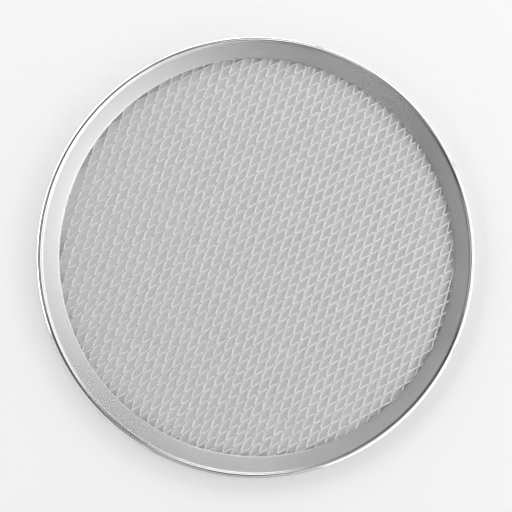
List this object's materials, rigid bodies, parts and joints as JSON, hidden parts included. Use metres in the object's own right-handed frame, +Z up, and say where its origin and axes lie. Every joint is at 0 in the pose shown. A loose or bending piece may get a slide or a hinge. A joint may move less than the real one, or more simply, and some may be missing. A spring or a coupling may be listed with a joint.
{
  "type": "pizza screen",
  "caption": "Round pizza screen: a disc of expanded aluminium mesh held in a folded aluminium rim with a rounded bead, so that air reaches the base of a pizza.",
  "frame": {"origin": "centre of the screen, on the plane that the rim rests on", "axes": "+Z up along the screen's axis; the long way of the mesh lies 50.5 degrees from +X towards +Y"},
  "size_m": [0.254, 0.254, 0.0052],
  "materials": {
    "rim_aluminium": "satin, finely brushed round the rim",
    "mesh_aluminium": "satin, slightly rough where it was sheared and stretched"
  },
  "bodies": {
    "root": {"rim": "rim_aluminium", "mesh": "mesh_aluminium"}
  },
  "joints": []
}
